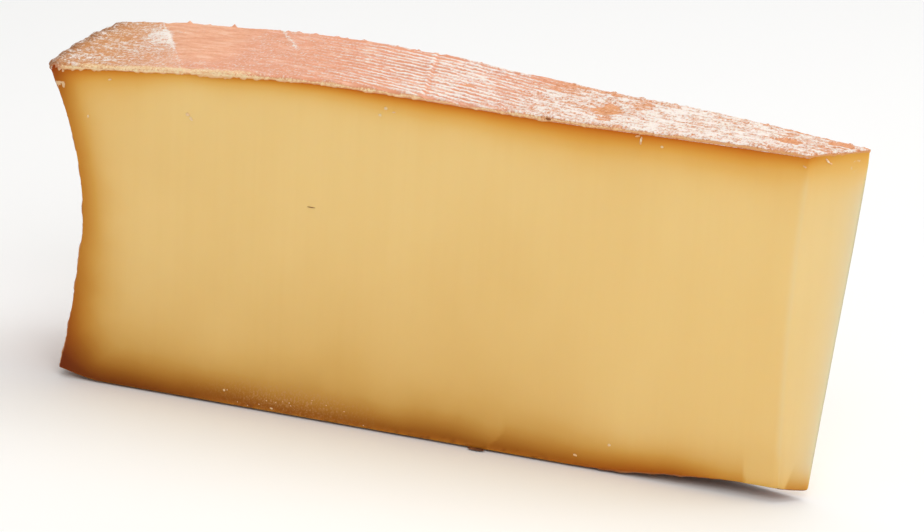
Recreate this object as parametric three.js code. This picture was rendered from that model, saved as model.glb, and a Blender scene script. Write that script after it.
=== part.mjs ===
// A cut portion of a pressed mountain cheese wheel: a truncated wedge, rind above, below and at the heel.
// While it is shaped, x runs along the front cut from the heel's top lip to the tip,
// y runs from the front cut into the piece and z runs up from the flat of the base.
import * as THREE from "three";
import { mergeVertices } from "three/addons/utils/BufferGeometryUtils.js";

// Driving dimensions, in millimetres
const WHEEL_RADIUS = 190;
const WHEEL_CENTRE_DEPTH = 27;
const WHEEL_THICKNESS = 79.3;
const FRONT_CUT_LENGTH = 178.2;
const BACK_CUT_DEPTH_AT_CORNER = 45.3;
const BACK_CORNER_X = 14;
const TIP_DEPTH = 10.7;
const TIP_FACET_SLOPE = 0.95;
const BACK_CUT_BOW = 3.3;
const BACK_CUT_BOW_POWER = 1.5;
const BACK_CUT_LEAN_AT_HEEL = 5;
const BACK_CUT_LEAN_AT_TIP = 7.5;
const BACK_CUT_LEAN_POWER = 1.55;
const BACK_CORNER_CHAMFER = 0.5;

// The shoulder, where the top rind falls away to the rim
const SHOULDER_DROP = 5.2;
const SHOULDER_REACH = 68;
const SHOULDER_STEEP_REACH = 58;
const TOP_SAG_DEPTH = 0.5;
const TOP_SAG_CENTRE = 122;
const TOP_SAG_REACH = 26;

// The hollow heel, which the hoop pressed in
const HEEL_HOLLOW = 9;
const HEEL_HOLLOW_HEIGHT = 36;
const HEEL_FOOT_HOLLOW = 4.3;
const HEEL_FOOT_POWER = 1.2;
const LIP_RADIUS = 1.6;
const NOTCH_HEIGHT = 54;
const NOTCH_DEPTH = 0.7;
const NOTCH_WIDTH = 2.2;

// The base: flat in the middle, lifting at the heel's foot and towards the tip
const FLAT_START = 15;
const FLAT_END = 128;
const HEEL_LIFT = 2.4;
const TIP_LIFT = 2.8;
const TIP_LIFT_END = 168;
const TIP_LIFT_FADE_DEPTH = 14;

// The front cut's end edge is pressed in a little at half height
const END_EDGE_HOLLOW = 1.8;
const END_EDGE_HOLLOW_HEIGHT = 29;
const END_EDGE_HALF_HEIGHT = 47;

// Low relief: uneven rind, a knife's waviness and the torn lower edge
const RIND_RELIEF = 0.22;
const CUT_WAVE = 0.12;
const TORN_START = 132;
const TORN_END = 164;
const TORN_DEPTH = 0.55;
const TORN_PITCH = 5.3;
const TORN_REACH = 2;

// Rows and columns of the faceted skin
const COLUMNS = 54;
const LAYERS = 13;
const ROWS = 22;
const CROWDING = 0.62;
const SETTLING_ROUNDS = 12;

// Portions of a smooth ramp, 0 before the start and 1 past the end
function ramp(value, start, end) {
  const t = THREE.MathUtils.clamp((value - start) / (end - start), 0, 1);
  return t * t * (3 - 2 * t);
}

// A bump of height 1 at the centre that fades over the given width
function bump(value, centre, width) {
  const t = (value - centre) / width;
  return Math.exp(-t * t);
}

// Slow unevenness between about -1 and 1, made of a few waves that don't line up
function unevenness(a, b) {
  const first = Math.sin(0.21 * a + 0.13 * b + 0.4);
  const second = Math.sin(0.47 * a - 0.31 * b + 2.1);
  const third = Math.sin(0.83 * a + 0.59 * b + 4.0);
  return 0.5 * first + 0.3 * second + 0.2 * third;
}

// How far the heel lies inside the wheel's rim at a height
function heelHollow(z, topHeight) {
  const lipHeight = topHeight - LIP_RADIUS;
  let hollow;
  if (z > HEEL_HOLLOW_HEIGHT) {
    const t = Math.min(1, (z - HEEL_HOLLOW_HEIGHT) / (lipHeight - HEEL_HOLLOW_HEIGHT));
    hollow = HEEL_HOLLOW * (1 - t * t);
  } else {
    const t = (HEEL_HOLLOW_HEIGHT - z) / HEEL_HOLLOW_HEIGHT;
    hollow = HEEL_HOLLOW - (HEEL_HOLLOW - HEEL_FOOT_HOLLOW) * t ** HEEL_FOOT_POWER;
  }
  const aboveLip = Math.max(0, z - lipHeight);
  const rounding = LIP_RADIUS - Math.sqrt(LIP_RADIUS ** 2 - Math.min(aboveLip, LIP_RADIUS) ** 2);
  return hollow + rounding + NOTCH_DEPTH * bump(z, NOTCH_HEIGHT, NOTCH_WIDTH);
}

// The heel is a turned surface round the wheel's own axis
function heelX(y, z, topHeight) {
  const wheelCentreX = Math.sqrt(WHEEL_RADIUS ** 2 - WHEEL_CENTRE_DEPTH ** 2);
  const radius = WHEEL_RADIUS - heelHollow(z, topHeight) + RIND_RELIEF * unevenness(2 * y, 1.6 * z);
  return wheelCentreX - Math.sqrt(radius ** 2 - (y - WHEEL_CENTRE_DEPTH) ** 2);
}

// The narrow facet that ends the portion
function tipX(y, z) {
  const t = (z - END_EDGE_HOLLOW_HEIGHT) / END_EDGE_HALF_HEIGHT;
  const frontEdge = FRONT_CUT_LENGTH + END_EDGE_HOLLOW * (Math.min(t * t, 1) - 1);
  return frontEdge + TIP_FACET_SLOPE * y;
}

// The second cut, nearly straight in plan and leaning in towards the base
function backY(x, z) {
  const tipEnd = FRONT_CUT_LENGTH + TIP_FACET_SLOPE * TIP_DEPTH;
  const along = (x - BACK_CORNER_X) / (tipEnd - BACK_CORNER_X);
  const straight = THREE.MathUtils.lerp(BACK_CUT_DEPTH_AT_CORNER, TIP_DEPTH, along);
  const bow = BACK_CUT_BOW * Math.sin(Math.PI * THREE.MathUtils.clamp(along, 0, 1) ** BACK_CUT_BOW_POWER);
  const chamfer = BACK_CORNER_CHAMFER * Math.max(0, BACK_CORNER_X - x);
  const lean = THREE.MathUtils.lerp(BACK_CUT_LEAN_AT_HEEL, BACK_CUT_LEAN_AT_TIP, along);
  const leaning = lean * Math.max(0, 1 - z / WHEEL_THICKNESS) ** BACK_CUT_LEAN_POWER;
  return straight + bow - chamfer - leaning + CUT_WAVE * unevenness(x, 0.5 * z);
}

// Height of the top rind over a point of the plan
function topZ(x, y) {
  const slope = THREE.MathUtils.clamp(x / SHOULDER_REACH, 0, 1);
  const shoulder = (slope + ramp(x, 0, SHOULDER_STEEP_REACH)) / 2;
  const sag = TOP_SAG_DEPTH * bump(x, TOP_SAG_CENTRE, TOP_SAG_REACH);
  const relief = RIND_RELIEF * unevenness(x, 2.2 * y);
  return WHEEL_THICKNESS - SHOULDER_DROP * (1 - shoulder) - sag + relief;
}

// Height of the base under a point of the plan, zero over the flat it rests on
function baseZ(x, y) {
  const heelLift = HEEL_LIFT * (1 - ramp(x, 0, FLAT_START));
  const tipFade = 1 - Math.min(1, y / TIP_LIFT_FADE_DEPTH);
  const tipLift = TIP_LIFT * ramp(x, FLAT_END, TIP_LIFT_END) * tipFade;
  const tear = Math.abs(Math.sin((Math.PI * x) / TORN_PITCH));
  const torn = x > TORN_START && x < TORN_END ? TORN_DEPTH * tear * bump(y, 0, TORN_REACH) : 0;
  return Math.max(0, heelLift + tipLift - torn);
}

// Rows crowd towards both ends, where the lips and edges are
function crowded(t) {
  return t - (CROWDING * Math.sin(2 * Math.PI * t)) / (2 * Math.PI);
}

// Place of a point of the unit block in the finished portion
function shaped(along, depth, rise) {
  let x = along * FRONT_CUT_LENGTH;
  let y = depth * BACK_CUT_DEPTH_AT_CORNER;
  let z = rise * WHEEL_THICKNESS;
  for (let round = 0; round < SETTLING_ROUNDS; round += 1) {
    const start = heelX(y, z, topZ(0, y));
    x = start + along * (tipX(y, z) - start);
    y = depth * backY(x, z);
    z = THREE.MathUtils.lerp(baseZ(x, y), topZ(x, y), rise);
  }
  return new THREE.Vector3(x, y, z);
}

function portionGeometry() {
  const block = new THREE.BoxGeometry(1, 1, 1, COLUMNS, LAYERS, ROWS);
  block.deleteAttribute("normal");
  block.deleteAttribute("uv");
  const skin = mergeVertices(block);
  const corners = skin.getAttribute("position");
  for (let i = 0; i < corners.count; i += 1) {
    const along = corners.getX(i) + 0.5;
    const depth = corners.getY(i) + 0.5;
    const rise = crowded(corners.getZ(i) + 0.5);
    const point = shaped(along, depth, rise);
    corners.setXYZ(i, point.x, point.y, point.z);
  }
  return skin;
}

// The finished part stands on z = 0 with its box centred on the origin
function centredOnBase(geometry) {
  geometry.computeBoundingBox();
  const middle = geometry.boundingBox.getCenter(new THREE.Vector3());
  geometry.translate(-middle.x, -middle.y, -geometry.boundingBox.min.z);
  geometry.computeVertexNormals();
  return geometry;
}

const paste = new THREE.MeshStandardMaterial({ color: 0xe0bd7c, roughness: 0.5, metalness: 0 });
const wedge = new THREE.Mesh(centredOnBase(portionGeometry()), paste);
wedge.name = "cheese_wedge";

const group = new THREE.Group();
group.add(wedge);

export default group;
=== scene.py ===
# A cut portion of a pressed mountain cheese wheel on a pale floor.
# Shapes are worked out in millimetres: x runs along the front cut from the heel to the tip,
# y from the front cut into the piece and z up from the base. They are then moved into the frame, in metres.
import math

import bpy
import numpy as np
from mathutils import Matrix, Vector


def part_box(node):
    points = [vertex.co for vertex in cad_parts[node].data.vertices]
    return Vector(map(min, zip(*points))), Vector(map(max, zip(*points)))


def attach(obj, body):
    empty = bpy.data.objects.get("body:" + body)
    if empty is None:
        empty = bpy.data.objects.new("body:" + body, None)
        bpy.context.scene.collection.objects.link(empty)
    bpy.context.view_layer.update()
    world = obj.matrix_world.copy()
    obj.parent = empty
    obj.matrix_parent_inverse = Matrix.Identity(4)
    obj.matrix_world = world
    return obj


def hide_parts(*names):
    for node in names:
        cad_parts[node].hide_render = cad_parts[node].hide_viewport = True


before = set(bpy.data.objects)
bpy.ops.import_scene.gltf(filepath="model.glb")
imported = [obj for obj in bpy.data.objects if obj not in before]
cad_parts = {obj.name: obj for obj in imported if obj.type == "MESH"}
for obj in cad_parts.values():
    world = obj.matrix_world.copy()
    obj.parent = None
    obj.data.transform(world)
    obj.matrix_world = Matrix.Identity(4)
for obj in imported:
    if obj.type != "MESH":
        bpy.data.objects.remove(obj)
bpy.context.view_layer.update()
NODE = "cheese_wedge"
BODY = "root"

MM = 0.001
SEED = 4711
CRUMB_SEED = 100
DUST_SEED = 200
SHRED_SEED = 300
DARK_BIT_SEED = 400
rng = np.random.default_rng(SEED)

# The portion's own sizes in millimetres, as in the solid
WHEEL_RADIUS = 190
WHEEL_CENTRE_DEPTH = 27
WHEEL_THICKNESS = 79.3
FRONT_CUT_LENGTH = 178.2
BACK_CUT_DEPTH_AT_CORNER = 45.3
BACK_CORNER_X = 14
TIP_DEPTH = 10.7
TIP_FACET_SLOPE = 0.95
BACK_CUT_BOW = 3.3
BACK_CUT_BOW_POWER = 1.5
BACK_CUT_LEAN_AT_HEEL = 5
BACK_CUT_LEAN_AT_TIP = 7.5
BACK_CUT_LEAN_POWER = 1.55
BACK_CORNER_CHAMFER = 0.5
SHOULDER_DROP = 5.2
SHOULDER_REACH = 68
SHOULDER_STEEP_REACH = 58
TOP_SAG_DEPTH = 0.5
TOP_SAG_CENTRE = 122
TOP_SAG_REACH = 26
HEEL_HOLLOW = 9
HEEL_HOLLOW_HEIGHT = 36
HEEL_FOOT_HOLLOW = 4.3
HEEL_FOOT_POWER = 1.2
LIP_RADIUS = 1.6
FLAT_START = 15
FLAT_END = 128
HEEL_LIFT = 2.4
TIP_LIFT = 2.8
TIP_LIFT_END = 168
TIP_LIFT_FADE_DEPTH = 14
END_EDGE_HOLLOW = 1.8
END_EDGE_HOLLOW_HEIGHT = 29
END_EDGE_HALF_HEIGHT = 47
SETTLING_ROUNDS = 12

# The edge between the front cut and the facet at the tip
END_EDGE_INWARD = (-0.39, 0.92, 0)
FACET_LENGTH_PER_DEPTH = 1.38

# The camera, in the portion's own millimetres and degrees
CAMERA_AZIMUTH = 19.669
CAMERA_ELEVATION = 17.5
CAMERA_ROLL = 3.135
CAMERA_DISTANCE = 1012.5
CAMERA_AIM_X = 101.21
CAMERA_AIM_Z = 41.89
FOCAL_PIXELS = 4600
IMAGE_WIDTH = 924
SENSOR_WIDTH = 36

# The floor lies just under the piece, in metres
FLOOR_HEIGHT = -0.2 * MM
FLOOR_HALF_SIZE = 6

# The top rind, and the cloth's print on it
RIND_THICKNESS = 1.25
BODY_TOP_GAP = 0.55
WEAVE_PITCH = 2.13
WEAVE_TURN = math.radians(-14)
PRINT_STARTS = (52, 84)
PRINT_ENDS = (98, 114)
PRINT_RELIEF = 0.42
BLOOM_RELIEF = 0.26
CREASE_DEPTH = 0.22
FOLD_HEIGHT = 0.2
MIN_LIP_HEIGHT = 0.75

# Places on the cuts and the heel
SLIT_X = 64.8
SLIT_Z = 49.75
LOWER_CRUMB_X = 107
TORN_STARTS = (126, 136)
TORN_ENDS = (160, 166)
FOOT_FLARE = 0.6
NOTCH_HEIGHT = 52.5
UPPER_NOTCH_HEIGHT = 63

# How finely the body and the rind are divided, and how the steps shrink towards their edges
BODY_COUNTS = (250, 34, 112)
RIND_COUNTS = (390, 108)
RIND_LAYERS = (0, 0.4, 0.8, 1.0)
CROWDING_REACH = 0.06


# Small helpers on arrays
def ramp(value, start, end):
    """0 up to the start and 1 from the end on, with a smooth rise between."""
    t = np.clip((value - start) / (end - start), 0, 1)
    return t * t * (3 - 2 * t)


def bump(value, centre, width):
    """1 at the centre, fading to 0 over about twice the width."""
    return np.exp(-(((value - centre) / width) ** 2))


def fading(distance, reach, power=1.0):
    """1 at no distance, fading to about a third at the reach. Distances below 0 count as none."""
    return np.exp(-((np.maximum(0, distance) / reach) ** power))


def spot(a, b, centre_a, centre_b, half_a, half_b):
    """1 inside an oval spot and 0 outside, with a soft edge."""
    distance = np.hypot((a - centre_a) / half_a, (b - centre_b) / half_b)
    return 1 - ramp(distance, 0.75, 1.15)


def edge_inset(distance, radius):
    """How far a surface draws in, at a distance from an edge that is rounded to this radius."""
    reach = radius - np.clip(distance, 0, radius)
    return radius - np.sqrt(radius**2 - reach**2)


class SmoothNoise:
    """Value noise on a seeded lattice, between 0 and 1. A constant in place of z picks a layer of it."""

    SIZE = 64

    def __init__(self, generator):
        self.lattice = generator.random((self.SIZE,) * 3)

    def once(self, points):
        """The lattice's value at each point, blended between the eight corners round it."""
        low = np.floor(points).astype(int)
        t = points - low
        t = t * t * (3 - 2 * t)
        total = np.zeros(len(points))
        for corner in np.ndindex(2, 2, 2):
            cell = (low + corner) % self.SIZE
            weight = np.prod(np.where(corner, t, 1 - t), axis=1)
            total += weight * self.lattice[cell[:, 0], cell[:, 1], cell[:, 2]]
        return total

    def __call__(self, x, y, z=0.0, octaves=4):
        points = np.stack(np.broadcast_arrays(x, y, z), -1).reshape(-1, 3).astype(float)
        total = np.zeros(len(points))
        share = 0.5
        for octave in range(octaves):
            total += share * (self.once(points * 2.03**octave + 7.7 * octave) - 0.5)
            share *= 0.5
        return np.clip(0.5 + 1.35 * total, 0, 1).reshape(np.shape(x))


noise = SmoothNoise(rng)


# The portion's outer form
def heel_hollow(z, top_height):
    """How far the heel lies inside the wheel's rim at a height."""
    lip_height = top_height - LIP_RADIUS
    above = np.clip((z - HEEL_HOLLOW_HEIGHT) / (lip_height - HEEL_HOLLOW_HEIGHT), 0, 1)
    below = np.clip((HEEL_HOLLOW_HEIGHT - z) / HEEL_HOLLOW_HEIGHT, 0, 1)
    upper = HEEL_HOLLOW * (1 - above**2)
    lower = HEEL_HOLLOW - (HEEL_HOLLOW - HEEL_FOOT_HOLLOW) * below**HEEL_FOOT_POWER
    over_lip = np.clip(z - lip_height, 0, LIP_RADIUS)
    rounding = LIP_RADIUS - np.sqrt(LIP_RADIUS**2 - over_lip**2)
    return np.where(z > HEEL_HOLLOW_HEIGHT, upper, lower) + rounding


def heel_x(y, z, top_height):
    """The heel, a surface turned round the wheel's own axis."""
    centre_x = math.sqrt(WHEEL_RADIUS**2 - WHEEL_CENTRE_DEPTH**2)
    radius = WHEEL_RADIUS - heel_hollow(z, top_height)
    return centre_x - np.sqrt(radius**2 - (y - WHEEL_CENTRE_DEPTH) ** 2)


def tip_x(y, z):
    """The narrow facet that ends the portion."""
    t = (z - END_EDGE_HOLLOW_HEIGHT) / END_EDGE_HALF_HEIGHT
    return FRONT_CUT_LENGTH + END_EDGE_HOLLOW * (np.minimum(t * t, 1) - 1) + TIP_FACET_SLOPE * y


def back_y(x, z):
    """The second cut, which bows a little and leans in towards the base."""
    tip_end = FRONT_CUT_LENGTH + TIP_FACET_SLOPE * TIP_DEPTH
    along = (x - BACK_CORNER_X) / (tip_end - BACK_CORNER_X)
    straight = BACK_CUT_DEPTH_AT_CORNER + (TIP_DEPTH - BACK_CUT_DEPTH_AT_CORNER) * along
    bow = BACK_CUT_BOW * np.sin(np.pi * np.clip(along, 0, 1) ** BACK_CUT_BOW_POWER)
    chamfer = BACK_CORNER_CHAMFER * np.maximum(0, BACK_CORNER_X - x)
    lean = BACK_CUT_LEAN_AT_HEEL + (BACK_CUT_LEAN_AT_TIP - BACK_CUT_LEAN_AT_HEEL) * along
    leaning = lean * np.maximum(0, 1 - z / WHEEL_THICKNESS) ** BACK_CUT_LEAN_POWER
    return straight + bow - chamfer - leaning


def top_z(x, y):
    """Height of the top over a point of the plan. It falls away at the shoulder."""
    slope = np.clip(x / SHOULDER_REACH, 0, 1)
    shoulder = (slope + ramp(x, 0, SHOULDER_STEEP_REACH)) / 2
    sag = TOP_SAG_DEPTH * bump(x, TOP_SAG_CENTRE, TOP_SAG_REACH)
    return WHEEL_THICKNESS - SHOULDER_DROP * (1 - shoulder) - sag


def base_z(x, y):
    """Height of the base, which lifts at the heel and at the tip."""
    heel_lift = HEEL_LIFT * (1 - ramp(x, 0, FLAT_START))
    tip_fade = 1 - np.clip(y / TIP_LIFT_FADE_DEPTH, 0, 1)
    return heel_lift + TIP_LIFT * ramp(x, FLAT_END, TIP_LIFT_END) * tip_fade


def shaped(along, depth, rise):
    """Places of points of the unit block in the portion's form."""
    x = along * FRONT_CUT_LENGTH
    y = depth * BACK_CUT_DEPTH_AT_CORNER
    z = rise * WHEEL_THICKNESS
    for _ in range(SETTLING_ROUNDS):
        start = heel_x(y, z, top_z(0.0, y))
        x = start + along * (tip_x(y, z) - start)
        y = depth * back_y(x, z)
        low = base_z(x, y)
        z = low + rise * (top_z(x, y) - low)
    return x, y, z


# Closed block meshes with shared corners
def block_skin(us, vs, ws):
    """Corners of a closed block's skin, each as its three shares, and the quads, facing out."""
    counts = (len(us), len(vs), len(ws))
    on_skin = np.ones(counts, bool)
    on_skin[1:-1, 1:-1, 1:-1] = False
    index = np.full(counts, -1)
    index[on_skin] = np.arange(on_skin.sum())
    i, j, k = np.nonzero(on_skin)
    shares = np.stack([us[i], vs[j], ws[k]], 1)

    def sheet(grid, flip):
        a = grid[:-1, :-1]
        b = grid[1:, :-1]
        c = grid[1:, 1:]
        d = grid[:-1, 1:]
        corners = (a, d, c, b) if flip else (a, b, c, d)
        return np.stack([g.ravel() for g in corners], 1)

    quads = np.concatenate([
        sheet(index[:, 0, :], False),
        sheet(index[:, -1, :], True),
        sheet(index[0, :, :], True),
        sheet(index[-1, :, :], False),
        sheet(index[:, :, 0], True),
        sheet(index[:, :, -1], False),
    ])
    return shares, quads


def crowded(count, start_share, end_share):
    """Shares from 0 to 1 whose steps are smaller by these shares near the start and the end."""
    t = np.linspace(0, 1, count)
    near_start = (1 - start_share) * np.exp(-t / CROWDING_REACH)
    near_end = (1 - end_share) * np.exp(-(1 - t) / CROWDING_REACH)
    steps = 1 - near_start - near_end
    sums = np.concatenate([[0], np.cumsum((steps[1:] + steps[:-1]) / 2)])
    return sums / sums[-1]


def soften(points, members, distance, reach, depth, inward):
    """Draw the corners near an edge in, along the direction that halves the edge."""
    direction = np.array(inward, float)
    direction /= np.linalg.norm(direction)
    share = np.where(members, np.clip(1 - distance / reach, 0, 1) ** 2, 0)
    points += depth * share[:, None] * direction


def normals_of(points, quads):
    """Unit normals of the corners, each the sum of its quads' own."""
    p = points[quads]
    face = np.cross(p[:, 2] - p[:, 0], p[:, 3] - p[:, 1])
    total = np.zeros_like(points)
    for corner in range(4):
        np.add.at(total, quads[:, corner], face)
    return total / np.maximum(np.linalg.norm(total, axis=1), 1e-12)[:, None]


def own_box_middle():
    """The middle of the form's own box, at the height of its base."""
    along = np.linspace(0, 1, 80)
    across = np.linspace(0, 1, 40)
    shares, _ = block_skin(along, across, across)
    x, y, z = shaped(shares[:, 0], shares[:, 1], shares[:, 2])
    return np.array([(x.min() + x.max()) / 2, (y.min() + y.max()) / 2, 0.0])


def frame_shift():
    """How far the portion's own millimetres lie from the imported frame."""
    low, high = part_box(NODE)
    middle = np.array([(low.x + high.x) / 2, (low.y + high.y) / 2, low.z]) / MM
    return own_box_middle() - middle


SHIFT = frame_shift()


def to_frame(points):
    """Millimetres in the portion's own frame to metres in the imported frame."""
    return (np.asarray(points, float) - SHIFT) * MM


def mesh_piece(name, points, faces, attributes, material, sharp_degrees=None):
    """A piece with its mesh, material and the values at its corners that the material reads."""
    mesh = bpy.data.meshes.new(name)
    mesh.from_pydata(to_frame(points).tolist(), [], [list(map(int, f)) for f in faces])
    for key, values in attributes.items():
        layer = mesh.attributes.new(key, "FLOAT", "POINT")
        layer.data.foreach_set("value", np.asarray(values, np.float32))
    mesh.polygons.foreach_set("use_smooth", [True] * len(mesh.polygons))
    if sharp_degrees is not None:
        mesh.set_sharp_from_angle(angle=math.radians(sharp_degrees))
    mesh.materials.append(material)
    mesh.update()
    piece = bpy.data.objects.new(name, mesh)
    bpy.context.scene.collection.objects.link(piece)
    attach(piece, BODY)
    return piece


# Node helpers
class Shader:
    """A material's node tree with short calls for the nodes that are used here."""

    def __init__(self, name):
        self.material = bpy.data.materials.new(name)
        self.material.use_nodes = True
        self.tree = self.material.node_tree
        self.surface = self.tree.nodes["Principled BSDF"]

    def node(self, kind, inputs=None, **settings):
        made = self.tree.nodes.new(kind)
        for key, value in settings.items():
            setattr(made, key, value)
        for key, value in (inputs or {}).items():
            self.feed(made.inputs[key], value)
        return made

    def feed(self, socket, value):
        if isinstance(value, bpy.types.NodeSocket):
            self.tree.links.new(value, socket)
        else:
            socket.default_value = value

    def attribute(self, name):
        return self.node("ShaderNodeAttribute", attribute_name=name).outputs["Fac"]

    def math(self, operation, a, b):
        return self.node("ShaderNodeMath", {0: a, 1: b}, operation=operation).outputs[0]

    def swing(self, noise, depth):
        """How far noise lies from its middle, times a depth."""
        return self.math("MULTIPLY", self.math("SUBTRACT", noise, 0.5), depth)

    def smooth(self, value, low, high, to_low=0.0, to_high=1.0):
        inputs = {"Value": value, "From Min": low, "From Max": high, "To Min": to_low, "To Max": to_high}
        return self.node("ShaderNodeMapRange", inputs, interpolation_type="SMOOTHSTEP").outputs["Result"]

    def mix(self, share, a, b):
        inputs = {"Factor": share, 6: a, 7: b}
        return self.node("ShaderNodeMix", inputs, data_type="RGBA").outputs[2]

    def multiply(self, a, b):
        inputs = {"Factor": 1.0, 6: a, 7: b}
        return self.node("ShaderNodeMix", inputs, data_type="RGBA", blend_type="MULTIPLY").outputs[2]

    def place(self, scale=(1, 1, 1), turn=0.0):
        """Object coordinates in millimetres, turned about z and then scaled."""
        coordinates = self.node("ShaderNodeTexCoord").outputs["Object"]
        turned = self.node("ShaderNodeMapping", {"Vector": coordinates, "Rotation": (0, 0, -turn)})
        factors = tuple(s / MM for s in scale)
        return self.node("ShaderNodeMapping", {"Vector": turned.outputs[0], "Scale": factors}).outputs[0]

    def noise(self, place, scale, detail, roughness=0.55, distortion=0.0):
        inputs = {"Vector": place, "Scale": scale, "Detail": detail}
        inputs.update({"Roughness": roughness, "Distortion": distortion})
        return self.node("ShaderNodeTexNoise", inputs).outputs["Fac"]

    def bump(self, height, strength, distance_mm):
        inputs = {"Height": height, "Strength": strength, "Distance": distance_mm * MM}
        return self.node("ShaderNodeBump", inputs).outputs["Normal"]

    def set_surface(self, **values):
        """Surface values by their names, with underscores for the spaces."""
        for key, value in values.items():
            self.feed(self.surface.inputs[key.replace("_", " ")], value)

    def let_light_in(self, weight, radius, depth_mm):
        """Light goes a little way under the surface."""
        scale = depth_mm * MM
        self.set_surface(Subsurface_Weight=weight, Subsurface_Radius=radius, Subsurface_Scale=scale)


def screen(red, green, blue):
    """A colour named as it looks on screen, 0 to 255, in the linear values that shaders take."""
    linear = []
    for value in (red, green, blue):
        share = value / 255
        linear.append(share / 12.92 if share <= 0.04045 else ((share + 0.055) / 1.055) ** 2.4)
    return (*linear, 1.0)


# The paste: pale gold inside, stained orange under the rind and brown over the base, the brown partly stain
# and partly painted shade.
# A stain is how much each channel fades for each unit of its depth.
PASTE = screen(243, 209, 139)
PASTE_DEEP = screen(234, 194, 118)
# The brown carries painted shade as well as stain
BROWN_STAIN_AND_SHADE = (0.29, 0.5, 1.0)
ORANGE_STAIN = (0.12, 0.41, 1.1)
STAIN_DEPTH = 4.6
STAIN_STOPS = 9
# Painted light: a pale glow along the facet's thin far edge and a highlight on its edge with the front cut
PAINTED_EDGE_LIGHT = screen(216, 214, 190)
# Painted shade: a thin grey line along the facet's far edge
FAR_EDGE_SHADE = screen(172, 158, 132)
HAZE = screen(204, 156, 104)
FLAKE = screen(232, 198, 154)

# The rind at the heel and under the base
SIDE_BROWN = screen(170, 98, 46)
SIDE_TAN = screen(208, 146, 94)
SIDE_GRAIN = screen(138, 78, 36)
SIDE_SMEAR = screen(230, 206, 184)
LIP_PIT = screen(136, 94, 62)
LIP_DUST = screen(236, 218, 200)
# Painted shade: the deep brown that darkens the base, which rests on the floor
UNDER_SIDE_SHADE = screen(92, 54, 30)


def depth_tint(s, attribute, absorption):
    """What is left of the light behind a stain, from its depth at a point; the brown one is partly painted
    shade.
    """
    share = s.math("DIVIDE", s.attribute(attribute), STAIN_DEPTH)
    tint = s.node("ShaderNodeValToRGB", {"Fac": share})
    stops = tint.color_ramp.elements
    for number in range(1, STAIN_STOPS - 1):
        stops.new(number / (STAIN_STOPS - 1))
    for stop in stops:
        left = [math.exp(-stop.position * STAIN_DEPTH * channel) for channel in absorption]
        stop.color = (*left, 1)
    return tint.outputs["Color"]


def paste_material():
    """The paste on the cuts, with the rind's own look wherever "skin" is 1."""
    s = Shader("paste")
    broad = s.noise(s.place((0.02, 0.02, 0.012)), 1.0, 3.0)
    streaks = s.noise(s.place((0.55, 0.55, 0.02)), 1.0, 2.0)
    grain = s.noise(s.place(), 1.1, 3.0)
    colour = s.mix(s.smooth(broad, 0.35, 0.7, 0.0, 0.35), PASTE, PASTE_DEEP)
    colour = s.mix(s.smooth(streaks, 0.35, 0.75, 0.0, 0.08), colour, PASTE_DEEP)
    colour = s.multiply(colour, depth_tint(s, "orange", ORANGE_STAIN))
    # Brown over the base, partly stain and partly painted shade
    colour = s.multiply(colour, depth_tint(s, "brown", BROWN_STAIN_AND_SHADE))
    drags = s.noise(s.place((2.0, 2.0, 1.5)), 1.0, 5.0, 0.75)
    haze = s.math("MULTIPLY", s.attribute("haze"), s.smooth(drags, 0.46, 0.66, 0.0, 0.75))
    colour = s.mix(haze, colour, HAZE)
    # Painted light: glow along the facet's far edge and highlight on the end edge
    colour = s.mix(s.attribute("painted_edge_light"), colour, PAINTED_EDGE_LIGHT)
    # Painted shade: grey line along the facet's far edge
    colour = s.mix(s.attribute("far_edge_shade"), colour, FAR_EDGE_SHADE)
    flaky = s.math("ADD", s.attribute("flake"), s.swing(grain, 1.6))
    colour = s.mix(s.smooth(flaky, 0.45, 0.75, 0.0, 0.85), colour, FLAKE)
    colour = s.mix(s.attribute("skin"), colour, rind_side_colour(s))
    roughness = s.smooth(grain, 0.2, 0.8, 0.42, 0.6)
    relief = s.math("ADD", s.math("MULTIPLY", streaks, 0.6), s.math("MULTIPLY", grain, 0.25))
    s.set_surface(Base_Color=colour, Roughness=roughness, Normal=s.bump(relief, 0.12, 0.12))
    s.set_surface(Specular_IOR_Level=0.15)
    s.let_light_in(0.3, (1.0, 0.7, 0.35), 2)
    return s.material


def rind_side_colour(s):
    """The rind at the heel and under the base: brown orange with smears of white bloom, and painted shade
    that darkens the base.
    """
    clouds = s.noise(s.place((0.05, 0.05, 0.11)), 1.0, 6.0, 0.65)
    grain = s.noise(s.place((0.7, 0.7, 1.0)), 1.0, 7.0, 0.8)
    smears = s.noise(s.place((0.09, 0.09, 0.3)), 1.0, 8.0, 0.72, 0.5)
    colour = s.mix(s.smooth(clouds, 0.35, 0.65), SIDE_BROWN, SIDE_TAN)
    colour = s.mix(s.smooth(grain, 0.3, 0.5, 0.5, 0.0), colour, SIDE_GRAIN)
    colour = s.mix(s.smooth(smears, 0.52, 0.7, 0.0, 0.65), colour, SIDE_SMEAR)
    dusty = s.noise(s.place((1.1, 1.1, 1.1)), 1.0, 6.0, 0.75, 0.4)
    lip_dust = s.attribute("lip_dust")
    pits = s.math("MULTIPLY", lip_dust, s.smooth(dusty, 0.34, 0.48, 0.75, 0.0))
    colour = s.mix(pits, colour, LIP_PIT)
    dust = s.math("MULTIPLY", lip_dust, s.smooth(dusty, 0.48, 0.6, 0.0, 0.8))
    colour = s.mix(dust, colour, LIP_DUST)
    # Painted shade darkens the base, which rests on the floor
    dark = s.math("MULTIPLY", s.attribute("under_side_shade"), s.smooth(clouds, 0.2, 0.6, 0.9, 0.55))
    return s.mix(dark, colour, UNDER_SIDE_SHADE)


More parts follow.
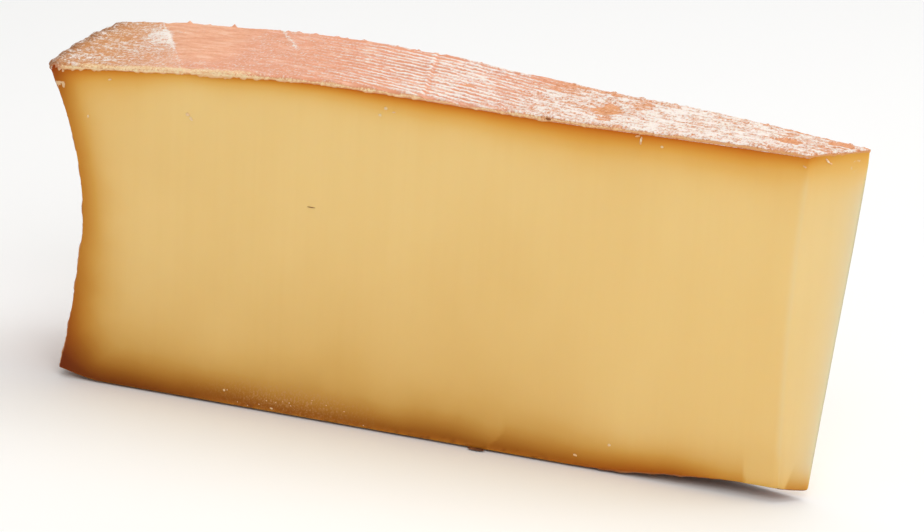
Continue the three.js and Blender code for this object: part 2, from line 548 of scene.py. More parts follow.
# The top rind: cloth-marked, salmon where it is bare and white where bloom grows
SALMON = screen(239, 170, 138)
WEAVE_ORANGE = screen(218, 147, 117)
BARE_ORANGE = screen(226, 158, 108)
SMOOTH_ORANGE = screen(249, 192, 158)
SMOOTH_ORANGE_DEEP = screen(238, 172, 134)
DULL_SALMON = screen(224, 150, 116)
DEEP_STREAK = screen(228, 156, 120)
PALE_STREAK = screen(251, 204, 176)
SHOULDER_BROWN = screen(216, 150, 92)
RIND_SPECK = screen(192, 118, 70)
RIM_BROWN = screen(150, 98, 58)
BLOOM = screen(246, 236, 227)
CUT_LIP = screen(251, 224, 178)
CUT_LIP_TAN = screen(232, 172, 116)
CUT_LIP_ORANGE = screen(222, 150, 76)


def rind_material():
    """Bare rind under bloom, and the paler cut side of the rind round its edge."""
    s = Shader("top_rind")
    flecks = s.noise(s.place((0.35, 1.2, 0.6), WEAVE_TURN), 1.0, 6.0, 0.7, 0.3)
    grains = s.noise(s.place((1.3, 0.7, 1.0)), 1.0, 6.0, 0.75, 0.4)
    printed = s.attribute("printed")
    gritty = s.attribute("gritty")
    speckle = s.attribute("speckle")
    flecks = s.math("ADD", grains, s.math("MULTIPLY", printed, s.math("SUBTRACT", flecks, grains)))
    clouds = s.noise(s.place((0.07, 0.1, 0.1), WEAVE_TURN), 1.0, 4.0)
    fine = s.noise(s.place(turn=WEAVE_TURN), 1.9, 5.0, 0.75)
    tufts = s.noise(s.place((0.3, 0.6, 0.5), WEAVE_TURN), 1.0, 3.0)
    streaks = s.noise(s.place((0.16, 0.55, 0.4), WEAVE_TURN), 1.0, 5.0, 0.7)

    # Bloom is white where this field is high
    field = s.math("ADD", s.attribute("bloom"), s.swing(flecks, speckle))
    field = s.math("ADD", field, s.swing(fine, speckle))
    field = s.math("ADD", field, s.swing(tufts, s.smooth(gritty, 0.3, 0.9, 0.3, 1.7)))
    field = s.math("ADD", field, s.attribute("ridge"))
    white = s.smooth(field, 0.22, 0.85)

    # Bare rind under the bloom
    bare = s.mix(s.math("MULTIPLY", s.smooth(clouds, 0.35, 0.7), printed), SALMON, WEAVE_ORANGE)
    smooth_tone = s.mix(s.smooth(fine, 0.35, 0.65, 0.0, 0.6), SMOOTH_ORANGE, SMOOTH_ORANGE_DEEP)
    bare = s.mix(s.attribute("smooth_patch"), bare, smooth_tone)
    bare = s.mix(s.smooth(fine, 0.36, 0.56, 0.6, 0.0), bare, DULL_SALMON)
    bare = s.mix(s.smooth(streaks, 0.45, 0.62, 0.0, 0.85), bare, DEEP_STREAK)
    bare = s.mix(s.smooth(streaks, 0.34, 0.48, 0.6, 0.0), bare, PALE_STREAK)
    bare = s.mix(s.attribute("bare_patch"), bare, BARE_ORANGE)
    bare = s.mix(s.attribute("shoulder"), bare, SHOULDER_BROWN)
    specks = s.math("MULTIPLY", s.smooth(grains, 0.36, 0.52, 0.75, 0.0), gritty)
    bare = s.mix(specks, bare, RIND_SPECK)
    bare = s.mix(s.attribute("rim_dark"), bare, RIM_BROWN)
    colour = s.mix(s.math("MULTIPLY", white, 0.96), bare, BLOOM)

    # The cut side round the edge
    lip_noise = s.noise(s.place((0.8, 0.8, 1.6)), 1.0, 5.0, 0.7)
    lip = s.mix(s.smooth(lip_noise, 0.4, 0.66, 0.0, 0.6), CUT_LIP, CUT_LIP_TAN)
    lip = s.mix(s.attribute("lip_orange"), lip, CUT_LIP_ORANGE)
    broken = s.math("ADD", s.math("MULTIPLY", fine, 2.0), s.math("MULTIPLY", grains, 0.6))
    cut = s.math("ADD", s.attribute("cut_side"), s.math("SUBTRACT", broken, 1.3))
    colour = s.mix(s.smooth(cut, 0.3, 0.75), colour, lip)

    roughness = s.smooth(white, 0.0, 1.0, 0.62, 0.9)
    height = s.math("ADD", s.math("MULTIPLY", white, 0.6), s.math("MULTIPLY", fine, 0.5))
    s.set_surface(Base_Color=colour, Roughness=roughness, Normal=s.bump(height, 0.5, 0.25))
    s.set_surface(Specular_IOR_Level=0.25)
    s.let_light_in(0.2, (1.0, 0.6, 0.4), 0.6)
    return s.material


def plain_material(name, low, high, scale, roughness):
    """Two tones mixed by noise, for small bits."""
    s = Shader(name)
    tone = s.smooth(s.noise(s.place(), scale, 3.0), 0.35, 0.65)
    s.set_surface(Base_Color=s.mix(tone, low, high), Roughness=roughness)
    s.let_light_in(0.3, (1.0, 0.6, 0.3), 1)
    return s.material


# The paste's body with the heel's and the base's rind
def body_piece(material):
    us = crowded(BODY_COUNTS[0], 0.3, 0.35)
    vs = crowded(BODY_COUNTS[1], 0.25, 0.4)
    ws = crowded(BODY_COUNTS[2], 0.28, 0.35) * (1 - BODY_TOP_GAP / WHEEL_THICKNESS)
    shares, quads = block_skin(us, vs, ws)
    along, depth, rise = shares.T
    x, y, z = shaped(along, depth, rise)
    front = depth == 0
    back = depth == 1
    heel = along == 0
    tip = along == 1
    base = rise == 0
    cut = front | back | tip
    above_base = z - base_z(x, y)
    below_top = top_z(x, y) - z
    from_heel = x - heel_x(y, z, top_z(0.0, y))
    from_tip = tip_x(y, z) - x
    from_back = back_y(x, z) - y
    points = np.stack([x, y, z], 1)
    outward = normals_of(points, quads)

    # Edges are a little round: the two faces, the distances on them, reach, depth and way in
    edges = [
        (front, from_tip, tip, FACET_LENGTH_PER_DEPTH * y, 1.3, 0.26, END_EDGE_INWARD),
        (front, from_heel, heel, y, 0.9, 0.3, (1, 1, 0)),
        (front, above_base, base, y, 0.7, 0.28, (0, 1, 1)),
        (tip, above_base, base, from_tip, 0.8, 0.3, (-1, 0, 1)),
        (back, above_base, base, from_back, 0.8, 0.3, (0, -1, 1)),
        (back, from_heel, heel, from_back, 0.9, 0.3, (1, -1, 0)),
        (heel, above_base, base, from_heel, 1.0, 0.4, (1, 0, 1)),
    ]
    for face, distance, other_face, other_distance, reach, depth_in, inward in edges:
        nearest = np.where(face, distance, other_distance)
        soften(points, face | other_face, nearest, reach, depth_in, inward)

    # The lower front edge is ragged, most of all where it is torn near the tip
    ragged = noise(x * 0.55, 0.0, octaves=3)
    torn = ramp(x, *TORN_STARTS) * (1 - ramp(x, *TORN_ENDS))
    rag_height = (0.1 + 0.4 * ragged * (1 - torn) + 0.7 * torn * (ragged - 0.9)) * bump(y, 0, 0.9)
    crumb_gap = 1 - bump(x, LOWER_CRUMB_X, 1.8)
    points[:, 2] += np.where(base, rag_height * crumb_gap, 0)

    # The heel's foot stands out a little
    points[:, 0] -= FOOT_FLARE * (1 - ramp(z, 1, 9)) * fading(from_heel, 5)

    # The knife's slow waves on the cuts, the heel's lumps and notches, and the base's print of a shelf
    wave = 0.1 * (noise(x * 0.05, z * 0.012, 3.0) - 0.5)
    wave += 0.05 * (noise(x * 0.6, z * 0.03, 9.0) - 0.5)
    lumps = 0.7 * (noise(y * 0.22, z * 0.3, x * 0.1) - 0.5)
    lumps += 0.35 * (noise(y * 0.9, z * 1.3, x * 0.5) - 0.5)
    notches = -0.9 * bump(z, NOTCH_HEIGHT, 1.1) * bump(y, 0, 6)
    notches -= 0.4 * bump(z, UPPER_NOTCH_HEIGHT, 0.8) * bump(y, 2, 5)
    shelf_print = 0.22 * (noise(x * 0.05, y * 0.7, 5.0) - 0.5)
    shelf_print += 0.16 * (noise(x * 0.5, y * 0.5, 8.0) - 0.5)
    push = np.where(cut, wave, 0.0)
    push = np.where(heel, lumps + notches, push)
    push = np.where(base & ~cut, np.minimum(shelf_print, 0), push)
    smear = paste_smears(x, y, z)
    slit = bump(x, SLIT_X, 1.1) * bump(z, SLIT_Z, 0.2)
    push += (0.1 * smear - 0.2 * slit) * front
    points += outward * push[:, None]
    points[:, 2] = np.maximum(points[:, 2], 0.0)

    # Stains, the brown partly painted shade over the base; painted light at the facet's two upright edges,
    # a glow along the far one and a highlight on the one by the front cut; a thin line of painted shade
    # along the far edge
    orange, brown = paste_stains_and_shade(x, y, z, below_top, above_base, from_heel, tip)
    haze = bump(x, 62, 15) * bump(above_base, 4.0, 3.6)
    # Painted glow of light through the facet's thin far edge, faint over the rest of the facet
    pale = (0.1 + 0.65 * fading(from_back, 2.2)) * ramp(below_top, 2, 14) * ramp(z, 2, 9) * tip
    # Painted shade: a thin grey line along the facet's far edge
    far_edge_shade = 0.7 * bump(from_back, 0, 0.25) * ramp(below_top, 2, 10) * ramp(z, 3, 9) * tip
    # Painted highlight on the rounded edge between the front cut and the facet, none where the knife
    # smeared the paste
    end_edge_highlight = bump(from_tip + FACET_LENGTH_PER_DEPTH * y, 0, 0.9) * (1 - smear)
    pale = np.maximum(pale, 0.18 * end_edge_highlight * ramp(below_top, 3, 9) * (front | tip))
    lip_dust = ramp(z + 6 * (noise(y * 0.3, z * 0.3, 33.0) - 0.5), 66, 74)
    attributes = {
        "orange": orange * cut,
        # Brown over the base, partly stain and partly painted shade
        "brown": brown * cut,
        "haze": haze * front,
        "flake": cut_flakes(x, y, z, front, tip),
        # Painted light and painted shade at the facet's edges
        "painted_edge_light": pale,
        "far_edge_shade": far_edge_shade,
        "skin": (heel | base).astype(float),
        # Painted shade on the base
        "under_side_shade": base.astype(float),
        "lip_dust": lip_dust * heel,
    }
    return mesh_piece("cheese_body", points, quads, attributes, material, 50)


def lip_lift(x):
    """How much higher the rind's cut edge ends towards the heel."""
    return 0.6 * ramp(x, 4, 14) * (1 - ramp(x, 30, 44))


def cut_flakes(x, y, z, front, tip):
    """Flakes of rind that lie pressed on the cuts: two by the heel's lip and a curl by the far edge."""
    upper_flake = 0.9 * spot(x, z, 3.0, 72.6, 1.1, 0.7)
    lower_flake = 0.8 * spot(x, z, 2.9, 69.2, 1.4, 1.4)
    ragged = ramp(noise(x * 2.4, z * 2.2, 4.0, octaves=3), 0.3, 0.6)
    from_curl = np.hypot((y - 8.6) / 0.9, (z - 75.4) / 1.4)
    curl = 0.65 * bump(from_curl, 1, 0.28) * (y < 9.4)
    return np.maximum(upper_flake, lower_flake) * ragged * front + curl * tip


def paste_stains_and_shade(x, y, z, below_top, above_base, from_heel, tip):
    """Depths of the orange stain under the rind and of the brown over the base, which is partly stain and
    partly painted shade.
    """
    uneven = 0.8 + 0.4 * noise(x * 0.07, z * 0.07, y * 0.07)

    # Under the top rind
    under_lip = np.maximum(0, below_top - RIND_THICKNESS + lip_lift(x)) / uneven
    orange = (1.9 + 1.0 * ramp(x, 40, 90)) * fading(under_lip, 1.7 + 1.5 * ramp(x, 35, 150))
    orange += 0.9 * fading(under_lip, 0.5) * ramp(x, 20, 45)
    orange += 1.25 * fading(under_lip, 4.2) * (1 - ramp(x, 14, 36))
    facet_orange = 1.2 * fading(under_lip, 4.0) + 1.3 * fading(y, 2.6) * fading(under_lip, 1.4)
    to_edge = ramp(x, 163, 177)
    orange = np.where(tip, facet_orange, orange * (1 - to_edge) + 1.15 * facet_orange * to_edge)

    # Beside the heel: stain, stronger towards the base, where it is partly painted shade
    edge = 2.0 * fading(from_heel, 4.6 * uneven, 1.35)
    edge *= 1 + 0.85 * (1 - ramp(z, 8, 32))
    orange += 0.5 * edge + 0.25 * fading(from_heel, 8) * ramp(z, 20, 50)
    brown = 0.5 * edge

    # Over the base: brown on the heel's side, partly stain and partly painted shade, and browner orange on
    # the tip's
    tip_side = ramp(x, 104, 146)
    height = np.maximum(0, above_base) / uneven
    by_corner = 1 - ramp(x, 50, 80)
    by_foot = 1 - ramp(x, 20, 34)
    heel_stain_and_shade = (2.9 + 0.4 * by_corner + 0.8 * by_foot) * fading(height, 4.2 + 0.35 * by_corner, 1.25)
    # Broadly darker towards the base over the whole cut, partly stain and partly painted shade
    heel_stain_and_shade += 0.95 * fading(height, 20)
    orange += 0.6 * fading(height, 3.6, 1.25) * (1 - tip_side) * ~tip
    # On the tip's side mostly stain, with a faint share of the broad painted shade
    tip_stain_and_shade = (4.5 - 2.5 * ramp(x, 150, 166)) * fading(height, 3.0) + 0.1 * fading(height, 20)
    tip_stain_and_shade = np.where(tip, 2.2 * fading(height, 3.0), tip_stain_and_shade)
    smear = paste_smears(x, y, z)
    brown += heel_stain_and_shade * (1 - tip_side) * (1 - 0.22 * smear)
    brown += 0.55 * tip_stain_and_shade * tip_side * (1 - 0.65 * smear)
    orange += 0.45 * tip_stain_and_shade * tip_side * (1 - 0.65 * smear)

    # Darker in the heel's two corners, partly stain and partly painted shade, with a line of orange along
    # the base
    lower_corner = 2.65 * fading(np.hypot(np.maximum(0, from_heel) / 12, height / 10), 1, 1.5)
    brown = np.maximum(brown, lower_corner + 0.5 * brown)
    fringe = ramp(x, 30, 50) * (1 - 0.6 * tip_side) * ramp(noise(x * 0.9, z * 1.5, 51.0), 0.2, 0.5)
    base_line = bump(height, 0, 1.1) * fringe * ~tip
    brown *= 1 - 0.75 * base_line
    orange += 1.1 * base_line
    brown += 1.1 * bump(np.hypot(from_heel / 3.8, np.maximum(0, below_top - 1) / 7.5), 0, 1)
    return np.clip(orange, 0, STAIN_DEPTH), np.clip(brown, 0, STAIN_DEPTH)


def paste_smears(x, y, z):
    """Where the knife dragged pale paste down over the darker band above the base."""
    low = 1 - ramp(z, 5, 12)
    middle_end = 113.2 - 3.4 * (1 - ramp(z, 0, 5.5))
    middle = ramp(x, 100, 111) * (1 - ramp(x, middle_end - 0.5, middle_end)) * low
    middle *= ramp(z, -1, 3) * (y < 0.5)
    last_start = 168.2 + 0.6 * bump(z, 3, 3)
    last = ramp(x, last_start, last_start + 0.7) * low
    last *= 1 - ramp(y - 0.3 * z, 0.0, 0.6)
    return np.maximum(middle, last)


# The top rind as its own crust over the body
def top_rind_piece(material):
    us = crowded(RIND_COUNTS[0], 0.5, 0.6)
    vs = crowded(RIND_COUNTS[1], 0.35, 0.5)
    ws = 1 - (1 - np.array(RIND_LAYERS)) * RIND_THICKNESS / WHEEL_THICKNESS
    shares, quads = block_skin(us, vs, ws)
    along, depth, rise = shares.T
    x, y, z = shaped(along, depth, rise)
    front = depth == 0
    back = depth == 1
    tip = along == 1
    top = rise == 1
    low_side = rise == ws[0]
    cut = front | back | tip
    share_up = (rise - ws[0]) / (1 - ws[0])
    points = np.stack([x, y, z], 1)

    # Relief of the top: the cloth's print, clumps of bloom, slow lumps, the crease and the fold
    across = y * math.cos(WEAVE_TURN) - x * math.sin(WEAVE_TURN)
    line = across / WEAVE_PITCH + 0.5 * noise(x * 0.03, across * 0.05, 2.0)
    ridge = 0.5 * np.cos(2 * np.pi * line)
    dashes = noise(x * 0.32, np.round(line) * 3.7, 1.0, octaves=2)
    print_depth = print_strength(x, y)
    bloom, bare, shoulder = rind_fields(x, y)
    clumps = ramp(noise(x * 0.75, y * 0.6, 6.0), 0.4, 0.7)
    crease = crease_distance(x, y)
    fold = fold_distance(x, y)
    relief = PRINT_RELIEF * print_depth * ridge * (0.5 + dashes)
    relief += BLOOM_RELIEF * bloom * (clumps - 0.4)
    relief += 0.5 * (noise(x * 0.07, y * 0.09, 4.0) - 0.5)
    relief += 0.16 * (noise(x * 0.8, y * 0.8, 4.5) - 0.5)
    relief -= 0.25 * bare
    relief -= CREASE_DEPTH * bump(crease, 0.5, 0.9)
    relief += FOLD_HEIGHT * (bump(fold, 0, 0.5) - bump(fold, 0.9, 0.5))
    near_edge = np.minimum(np.minimum(y, back_y(x, z) - y), tip_x(y, z) - x)
    relief -= edge_inset(np.maximum(0, near_edge), 0.3)
    points[:, 2] += relief * share_up

    # The cut sides stand a little proud of the paste, with a ragged lower edge
    rag = noise(x * 0.5, y * 0.5, 12.0, octaves=4)
    fine_rag = noise(x * 2.2, y * 2.2, 15.0, octaves=3)
    proud = 0.1 + (0.26 - 0.06 * ramp(x, 50, 80)) * rag + 0.15 * fine_rag
    from_corner = ramp(x, 1, 6)
    points[front, 1] -= (proud * from_corner)[front]
    points[back, 1] += (proud * from_corner)[back]
    points[tip, 0] += (0.5 * proud)[tip]
    lip_rise = (rag - 0.5) + 0.7 * (fine_rag - 0.5) - 0.35
    lip_rise += (0.6 * ramp(x, 36, 60) + 0.35 * ramp(x, 118, 140) + lip_lift(x)) * front + 0.9 * tip
    lip_rise = np.minimum(lip_rise, RIND_THICKNESS - MIN_LIP_HEIGHT)
    lowest_row = low_side & cut
    points[lowest_row, 2] += lip_rise[lowest_row]
    next_row = (rise == ws[1]) & cut
    points[next_row, 2] += 0.5 * np.maximum(lip_rise, 0)[next_row]

    # Crumbs of rind stand up from the back edge, and the rim at the heel is lumpy
    spikes = 0.5 * ramp(noise(x * 0.9, 3.3, 31.0), 0.55, 0.9)
    spikes += 0.8 * bump(x, 14.6, 0.5) + 0.7 * bump(x, 26.6, 0.4)
    points[:, 2] += spikes * back * share_up
    from_rim = np.maximum(0, x - heel_x(y, z, top_z(0.0, y)))
    overhang = (0.1 + 1.1 * noise(y * 0.55, z * 0.3, 3.0)) * fading(from_rim, 1.2)
    points[:, 0] -= overhang * ramp(y, 0, 2)
    rim_lumps = (noise(x * 0.6, y * 0.6, 17.0) - 0.45) * bump(from_rim, 0, 3)
    points[:, 2] += rim_lumps * share_up

    # Values for the material
    cut_side = cut & ~top
    past_fold = ramp(x, 83, 91)
    line_strength = 0.75 + 0.5 * dashes + past_fold * (0.8 * dashes - 0.5)
    line_strength *= print_depth * top * (1 - 0.4 * np.exp(-y))
    smooth = smooth_patch(x, y)
    before_crease = 0.65 * ramp(x, 14, 22) * (1 - ramp(crease, -1, 0))
    lip_share = (0.85 - 0.16 * ramp(x, 44, 60)) * ramp(x, 0.5, 5)
    lip_share = cut_side * lip_share * (1 - 0.3 * (rise > ws[1])) + 0.25 * (top & (front | tip))
    lip_reach = 1.4 + 1.6 * noise(x * 0.35, y * 0.2, 61.0)
    over_lip = 0.68 * bump(y, 0, lip_reach) * top * ramp(x, 4, 10) * (1 - ramp(x, 44, 58))
    rim_reach = 0.8 + 1.8 * noise(x * 0.8, y * 0.5, 44.0)
    attributes = {
        "ridge": 0.95 * ridge * line_strength,
        "speckle": 2.7 - (1.2 - 0.5 * past_fold) * print_depth - 0.9 * smooth,
        "gritty": np.clip(0.6 * (1 - ramp(crease + 12, 0, 12)) + ramp(x, 98, 116) + 0.08, 0, 1),
        "printed": print_depth,
        "smooth_patch": np.maximum(smooth, before_crease),
        "rim_dark": 0.85 * fading(from_rim, rim_reach),
        "lip_orange": np.maximum(np.where(tip, 0.85, 0.6 * ramp(x, 120, 165)), 0.8 * low_side),
        "bloom": np.where(cut_side, 0.08, bloom),
        "bare_patch": np.maximum(bare, 0.65 * ramp(x, 104, 122)),
        "shoulder": np.where(cut_side, 0.35, shoulder),
        "cut_side": np.maximum(lip_share, over_lip),
    }
    return mesh_piece("top_rind", points, quads, attributes, material, 60)


def crease_distance(x, y):
    """Signed distance from the crease where the smooth patch begins, positive on the tip's side."""
    return (x - 28.6) * 0.87 + (y - 8.8) * 0.49


def fold_distance(x, y):
    """Signed distance from the cloth's cross fold."""
    return (x - 84) * 0.96 + (y - 20) * 0.27


def print_strength(x, y):
    """How deep the cloth's print is over the plan."""
    started = ramp(x + 0.3 * y, *PRINT_STARTS)
    ended = ramp(x - 0.15 * y, *PRINT_ENDS)
    return 0.1 + 0.9 * started * (1 - 0.85 * ended)


# Steps of the bloom along the piece: change, start and end
BLOOM_STEPS = [
    (-0.06, 26, 34),
    (0.15, 62, 82),
    (0.15, 80, 92),
    (0.07, 108, 118),
    (0.1, 130, 142),
    (-0.16, 164, 172),
]

# Thicker and thinner spots of bloom: change, place in plan and half sizes
BLOOM_SPOTS = [
    (0.14, 15, 19, 10, 6),
    (0.25, 8, 7, 5, 3),
    (0.2, 14, 36, 9, 6),
    (-0.22, 108, 24, 9, 5),
    (-0.1, 104, 12, 8, 8),
    (-0.2, 114, 25, 7, 3.5),
]

# Bare spots: how bare, place in plan and half sizes
BARE_SPOTS = [
    (1.0, 128.3, 12.2, 2.9, 4.4),
    (0.45, 135, 18.0, 2.2, 3.0),
    (0.8, 171.5, 7.4, 2.8, 2.0),
    (0.7, 182, 10.4, 2.8, 1.4),
]


def rind_fields(x, y):
    """Bloom, bare patches and the brown shoulder over the plan, each 0 to 1."""
    wobble = 5 * (noise(x * 0.08, y * 0.12, 21.0) - 0.5)
    u = x + wobble
    past_crease = ramp(crease_distance(x + 0.1 * wobble, y), -0.3, 0.3)
    bloom = 0.3 - 0.32 * smooth_patch(u, y) - 0.04 * past_crease * (1 - ramp(u, 50, 60))
    for change, start, end in BLOOM_STEPS:
        bloom += change * ramp(u, start, end)
    for change, *place in BLOOM_SPOTS:
        bloom += change * spot(u, y, *place)
    bloom += 0.42 * spot(u, y, 17, 31, 8, 7) * (1 - past_crease)

    # Less along the front edge and the back edge
    bloom -= 0.12 * fading(y, 1.2) * ramp(x, 50, 60) * (1 - ramp(x, 108, 118))
    by_back = 1 - ramp(back_y(x, top_z(x, y)) - y, 1.0, 3.6)
    bloom -= 0.22 * by_back * ramp(x, 50, 60) * (1 - 0.8 * ramp(x, 126, 142))

    # White lines: in the crease, on the fold and in the scratch
    bloom += 0.35 * bump(crease_distance(x, y), -0.4, 0.35) * ramp(y, 7, 10)
    fold = fold_distance(x, y)
    bloom += 0.3 * bump(fold, 0, 0.4) * ramp(y, 16, 24) - 0.4 * bump(fold, 0.9, 0.4)
    bloom += 0.85 * scratch_line(x, y)

    # Bare spots, the last a small one
    bare = 0.65 * spot(x, y, 130.3, 4.7, 2.0, 2.4)
    for share, *place in BARE_SPOTS:
        bare = np.maximum(bare, share * spot(u, y, *place))
    bloom -= 0.7 * bare
    bare = np.maximum(bare, 0.55 * spot(x, y, 95.8, 12.6, 1.6, 1.3))
    bloom -= 0.4 * spot(x, y, 95.8, 12.6, 2.2, 1.6)
    shoulder = (1 - ramp(u + 0.2 * y, 6, 37)) * (1 - 0.75 * past_crease)
    return np.clip(bloom, 0, 1), np.clip(bare, 0, 1), np.clip(shoulder, 0, 1)


def smooth_patch(x, y):
    """The orange patch beside the crease, where nothing has grown."""
    return ramp(crease_distance(x, y), -0.3, 0.3) * (1 - ramp(x + 0.1 * y, 33, 44)) * ramp(y, 6, 13)


def scratch_line(x, y):
    """A thin scratch from the back edge into the smooth patch, with a bend in it."""
    bend_x = 41.3
    bend_y = 38.3
    half_width = 0.28
    upper = bump((x - bend_x) + 0.4 * (y - bend_y), 0, half_width) * ramp(y, bend_y - 1, bend_y)
    lower = 0.8 * bump((x - bend_x) + 0.64 * (y - bend_y), 0, half_width)
    lower *= ramp(y, 24, 26) * (1 - ramp(y, bend_y, bend_y + 1))
    return np.maximum(upper, lower)


# Crumbs, torn rind and dark bits
def pebble(centre, sizes, turn_degrees, seed, rings=7, sides=10):
    """A lumpy flattened bead with its poles along y, as points and faces."""
    draws = np.random.default_rng(seed)
    points = []
    for ring in range(rings + 1):
        latitude = math.pi * ring / rings
        count = 1 if ring in (0, rings) else sides
        for side in range(count):
            longitude = 2 * math.pi * side / sides
            swell = 1 + 0.22 * (draws.random() - 0.5)
            points.append([
                math.sin(latitude) * math.cos(longitude) * swell,
                math.cos(latitude),
                math.sin(latitude) * math.sin(longitude) * swell,
            ])
    faces = []
    last = len(points) - 1
    for side in range(sides):
        following = (side + 1) % sides
        faces.append((0, 1 + following, 1 + side))
        for ring in range(rings - 2):
            a = 1 + ring * sides
            b = a + sides
            faces.append((a + side, a + following, b + following, b + side))
        a = 1 + (rings - 2) * sides
        faces.append((last, a + side, a + following))
    shape = np.array(points) * np.array(sizes)
    turn = math.radians(turn_degrees)
    x = shape[:, 0] * math.cos(turn) - shape[:, 2] * math.sin(turn)
    z = shape[:, 0] * math.sin(turn) + shape[:, 2] * math.cos(turn)
    return np.stack([x, shape[:, 1], z], 1) + np.array(centre), faces


def joined(parts):
    """Several beads as one list of points and one of faces."""
    points = []
    faces = []
    start = 0
    for part_points, part_faces in parts:
        points.append(part_points)
        faces.extend([tuple(v + start for v in face) for face in part_faces])
        start += len(part_points)
    return np.concatenate(points), faces


# The strip over the base where dust of paste lies
DUST_COUNT = 14
DUST_START = 46
DUST_LENGTH = 34

# Each crumb: place along and up the front cut, half sizes along and up, turn in degrees
CRUMBS = [
    (34.3, 66.7, 0.5, 0.42, -40),
    (35.2, 65.8, 0.55, 0.32, -50),
    (10.0, 62.7, 0.25, 0.4, 0),
    (15.1, 72.0, 0.5, 0.2, 20),
    (81.5, 75.0, 0.42, 0.4, 0),
    (80.2, 73.3, 0.4, 0.36, 0),
    (83.4, 74.4, 0.45, 0.16, 5),
    (145.3, 75.8, 0.35, 0.3, 0),
    (137.8, 6.4, 0.35, 0.35, 0),
    (130.1, 2.7, 0.5, 0.25, -15),
    (45.7, 3.5, 0.3, 0.3, 0),
    (57.4, 1.1, 0.4, 0.2, -10),
]


def crumb_piece(material):
    """The crumbs on the front cut, and the dust of paste."""
    parts = []
    for number, (x, z, half_x, half_z, turn) in enumerate(CRUMBS):
        parts.append(pebble((x, 0.02, z), (half_x, 0.22, half_z), turn, CRUMB_SEED + number))
    for number in range(DUST_COUNT):
        x = DUST_START + DUST_LENGTH * rng.random()
        z = 0.8 + 4.0 * rng.random() ** 1.3
        size = 0.07 + 0.08 * rng.random()
        parts.append(pebble((x, 0.02, z), (size * 1.4, 0.1, size), 0, DUST_SEED + number, 5, 7))
    points, faces = joined(parts)
    return mesh_piece("paste_crumbs", points, faces, {}, material)


def beads_piece(name, beads, first_seed, material):
    """Beads as one piece. Each has its place, half sizes and turn in degrees."""
    parts = []
    for number, (centre, sizes, turn) in enumerate(beads):
        parts.append(pebble(centre, sizes, turn, first_seed + number, 8, 12))
    points, faces = joined(parts)
    return mesh_piece(name, points, faces, {}, material)


def torn_rind_piece(material):
    """Shreds of rind that the knife pulled over the paste."""
    shreds = [
        ((140.5, -0.1, 76.5), (0.26, 0.3, 0.95), -6),
        ((139.7, -0.05, 77.4), (0.6, 0.3, 0.2), 15),
        ((177.2, 0.1, 76.2), (0.5, 0.2, 0.18), -24),
        ((181.4, 2.9, 77.4), (0.66, 0.26, 0.22), -42),
        ((182.0, 3.4, 76.8), (0.36, 0.24, 0.16), -20),
    ]
    return beads_piece("torn_rind", shreds, SHRED_SEED, material)


def dark_bits_piece(material):
    """A dark bead in the slit in the paste as painted shade, a dark fleck on the lip and the crumb under
    the lower edge.
    """
    bits = [
        # Painted shade: a dark bead in the slit stands for the shade inside it
        ((SLIT_X, 0.05, SLIT_Z), (1.05, 0.2, 0.1), 0),
        ((119.3, -0.42, 78.3), (0.62, 0.24, 0.26), -5),
        ((LOWER_CRUMB_X, -0.5, 0.24), (2.0, 0.7, 0.24), 0),
    ]
    return beads_piece("dark_bits", bits, DARK_BIT_SEED, material)


# Camera, floor and light
def camera_axes():
    azimuth = math.radians(CAMERA_AZIMUTH)
    elevation = math.radians(CAMERA_ELEVATION)
    roll = math.radians(CAMERA_ROLL)
    back = Vector((
        math.sin(azimuth) * math.cos(elevation),
        -math.cos(azimuth) * math.cos(elevation),
        math.sin(elevation),
    ))
    level = Vector((math.cos(azimuth), math.sin(azimuth), 0))
    upright = back.cross(level)
    right = level * math.cos(roll) + upright * math.sin(roll)
    up = upright * math.cos(roll) - level * math.sin(roll)
    return right, up, back


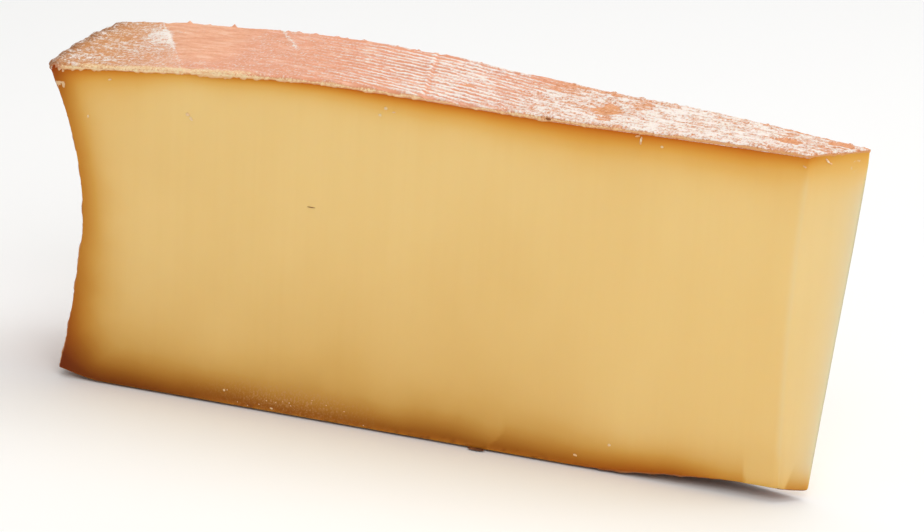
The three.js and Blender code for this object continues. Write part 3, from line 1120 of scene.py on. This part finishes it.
def make_camera():
    data = bpy.data.cameras.new("camera")
    data.sensor_width = SENSOR_WIDTH
    data.lens = FOCAL_PIXELS * SENSOR_WIDTH / IMAGE_WIDTH
    data.clip_start = 0.05
    data.clip_end = 20
    camera = bpy.data.objects.new("camera", data)
    right, up, back = camera_axes()
    aim = Vector(to_frame([CAMERA_AIM_X, 0, CAMERA_AIM_Z]).tolist())
    place = aim + back * (CAMERA_DISTANCE * MM)
    turn = Matrix((right, up, back)).transposed().to_4x4()
    camera.matrix_world = Matrix.Translation(place) @ turn
    bpy.context.scene.collection.objects.link(camera)
    bpy.context.scene.camera = camera


def make_floor():
    size = FLOOR_HALF_SIZE
    mesh = bpy.data.meshes.new("floor")
    corners = [(-size, -size, 0), (size, -size, 0), (size, size, 0), (-size, size, 0)]
    mesh.from_pydata(corners, [], [(0, 1, 2, 3)])
    s = Shader("floor")
    s.set_surface(Base_Color=(0.97, 0.968, 0.96, 1), Roughness=0.8, Specular_IOR_Level=0.1)
    mesh.materials.append(s.material)
    floor = bpy.data.objects.new("floor", mesh)
    floor.location.z = FLOOR_HEIGHT
    bpy.context.scene.collection.objects.link(floor)


def area_light(name, place, aim, size, power, colour=(1, 1, 1)):
    data = bpy.data.lights.new(name, "AREA")
    data.shape = "RECTANGLE"
    data.size, data.size_y = size
    data.energy = power
    data.color = colour
    light = bpy.data.objects.new(name, data)
    light.location = place
    light.rotation_euler = (Vector(aim) - Vector(place)).to_track_quat("-Z", "Y").to_euler()
    bpy.context.scene.collection.objects.link(light)


def make_lights():
    world = bpy.data.worlds.new("studio")
    world.use_nodes = True
    background = world.node_tree.nodes["Background"]
    background.inputs["Color"].default_value = (1, 1, 1, 1)
    background.inputs["Strength"].default_value = 0.5
    bpy.context.scene.world = world
    target = (0, 0, 0.04)
    area_light("key", (0.45, -0.85, 0.85), target, (0.7, 0.7), 4.3, (1.0, 0.99, 0.97))
    area_light("top", (0.15, 0.25, 1.1), target, (0.9, 0.9), 6)
    area_light("rim", (0.75, 0.35, 0.35), target, (0.5, 0.5), 0.6)


# Building
bpy.context.scene.view_settings.view_transform = "Standard"
make_camera()
make_floor()
make_lights()

body = body_piece(paste_material())
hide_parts(NODE)
top_rind_piece(rind_material())
crumb_piece(plain_material("crumb", screen(236, 194, 142), screen(244, 214, 172), 1.5, 0.6))
torn_rind_piece(plain_material("shred", screen(226, 170, 116), screen(246, 226, 196), 1.2, 0.65))
dark_bits_piece(plain_material("dark_bit", screen(84, 44, 16), screen(140, 80, 28), 0.9, 0.6))
